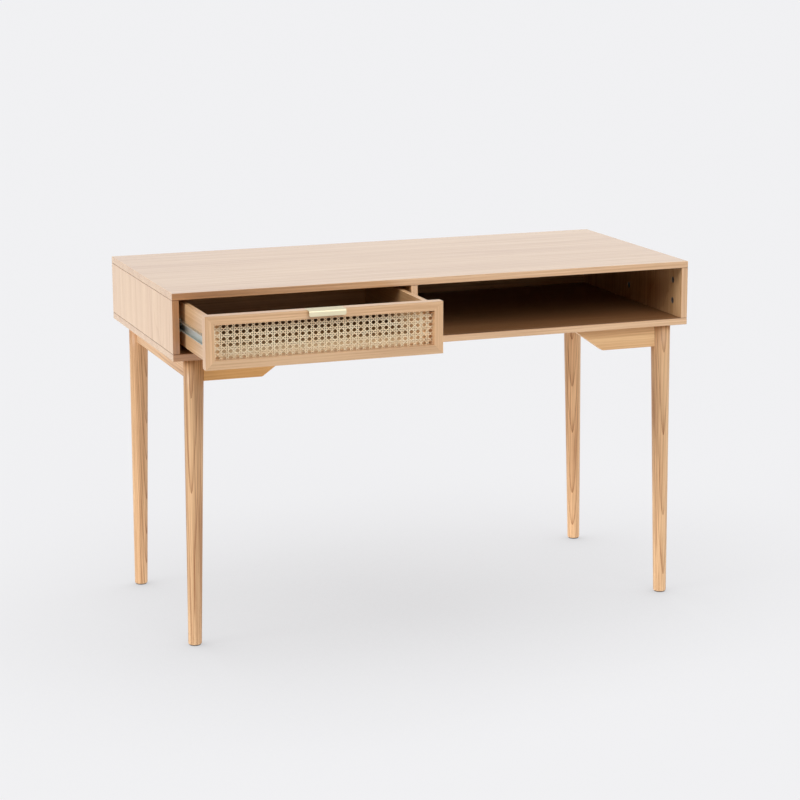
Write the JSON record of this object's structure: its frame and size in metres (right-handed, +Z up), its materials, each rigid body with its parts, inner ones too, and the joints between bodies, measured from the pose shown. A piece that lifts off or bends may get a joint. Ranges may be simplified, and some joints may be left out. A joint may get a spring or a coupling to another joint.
{
  "type": "desk",
  "caption": "Oak desk with a shallow case on splayed tapered legs, a cane-fronted drawer on ball-bearing slides beside an open bay, and a bent brass pull.",
  "frame": {"origin": "on the floor, under the middle of the desk's bounding box with the drawer part open as in the picture", "axes": "+X to the right along the desk as seen by the person who sits at it, +Y to the desk's back, +Z up"},
  "size_m": [1.2, 0.759, 0.78],
  "materials": {
    "oak_case": "pale oak veneer, matt lacquer",
    "oak_back": "thin veneered board, matt",
    "oak_leg": "turned solid oak, matt lacquer",
    "oak_rail": "solid oak, matt lacquer",
    "oak_front": "solid oak, matt lacquer",
    "drawer_wood": "plain solid wood, matt",
    "cane": "woven rattan cane, natural",
    "beech_dowel": "beech, unfinished",
    "cast_zinc": "cast zinc, plain",
    "plated_steel": "zinc plated, satin",
    "polished_steel": "polished bearing steel",
    "satin_brass": "pale satin brass",
    "dark_plastic": "matt moulded plastic"
  },
  "bodies": {
    "case": {"back_panel": "oak_back", "bottom_panel": "oak_case", "cam_bolts": "plated_steel", "cam_locks": "cast_zinc", "case_dowels": "beech_dowel", "case_slide_screws": "plated_steel", "centre_divider": "oak_case", "foot_glides": "dark_plastic", "frame_bolts": "plated_steel", "frame_tenons": "beech_dowel", "front_left_bracket": "oak_rail", "front_left_leg": "oak_leg", "front_right_bracket": "oak_rail", "front_right_leg": "oak_leg", "left_side_panel": "oak_case", "left_side_rail": "oak_rail", "left_slide_case_member": "plated_steel", "rear_left_bracket": "oak_rail", "rear_left_leg": "oak_leg", "rear_right_bracket": "oak_rail", "rear_right_leg": "oak_leg", "right_side_panel": "oak_case", "right_side_rail": "oak_rail", "right_slide_case_member": "plated_steel", "threaded_inserts": "plated_steel", "top_panel": "oak_case"},
    "drawer": {"front_top_rail": "oak_front", "front_bottom_rail": "oak_front", "front_left_stile": "oak_front", "front_right_stile": "oak_front", "cane_panel": "cane", "drawer_left_side": "drawer_wood", "drawer_right_side": "drawer_wood", "drawer_back": "drawer_wood", "drawer_bottom": "oak_back", "left_corner_block": "drawer_wood", "right_corner_block": "drawer_wood", "corner_block_screws": "plated_steel", "drawer_back_dowels": "beech_dowel", "bottom_screws": "plated_steel", "drawer_pull": "satin_brass", "pull_screws": "satin_brass", "left_slide_drawer_member": "plated_steel", "right_slide_drawer_member": "plated_steel", "drawer_slide_screws": "plated_steel"},
    "left_cage": {"left_ball_cage": "plated_steel", "left_slide_balls": "polished_steel"},
    "right_cage": {"right_ball_cage": "plated_steel", "right_slide_balls": "polished_steel"}
  },
  "joints": [
    {"name": "drawer_slide", "type": "slide", "parent": "case", "child": "drawer", "axis": [0, -1, 0], "range_m": [-0.197, 0.103]},
    {"name": "left_cage_slide", "type": "slide", "parent": "case", "child": "left_cage", "axis": [0, -1, 0], "range_m": [-0.0985, 0.0515]},
    {"name": "right_cage_slide", "type": "slide", "parent": "case", "child": "right_cage", "axis": [0, -1, 0], "range_m": [-0.0985, 0.0515]}
  ],
  "couplings": [
    {"joint": "left_cage_slide", "follows": "drawer_slide", "ratio": 0.5},
    {"joint": "right_cage_slide", "follows": "drawer_slide", "ratio": 0.5}
  ]
}
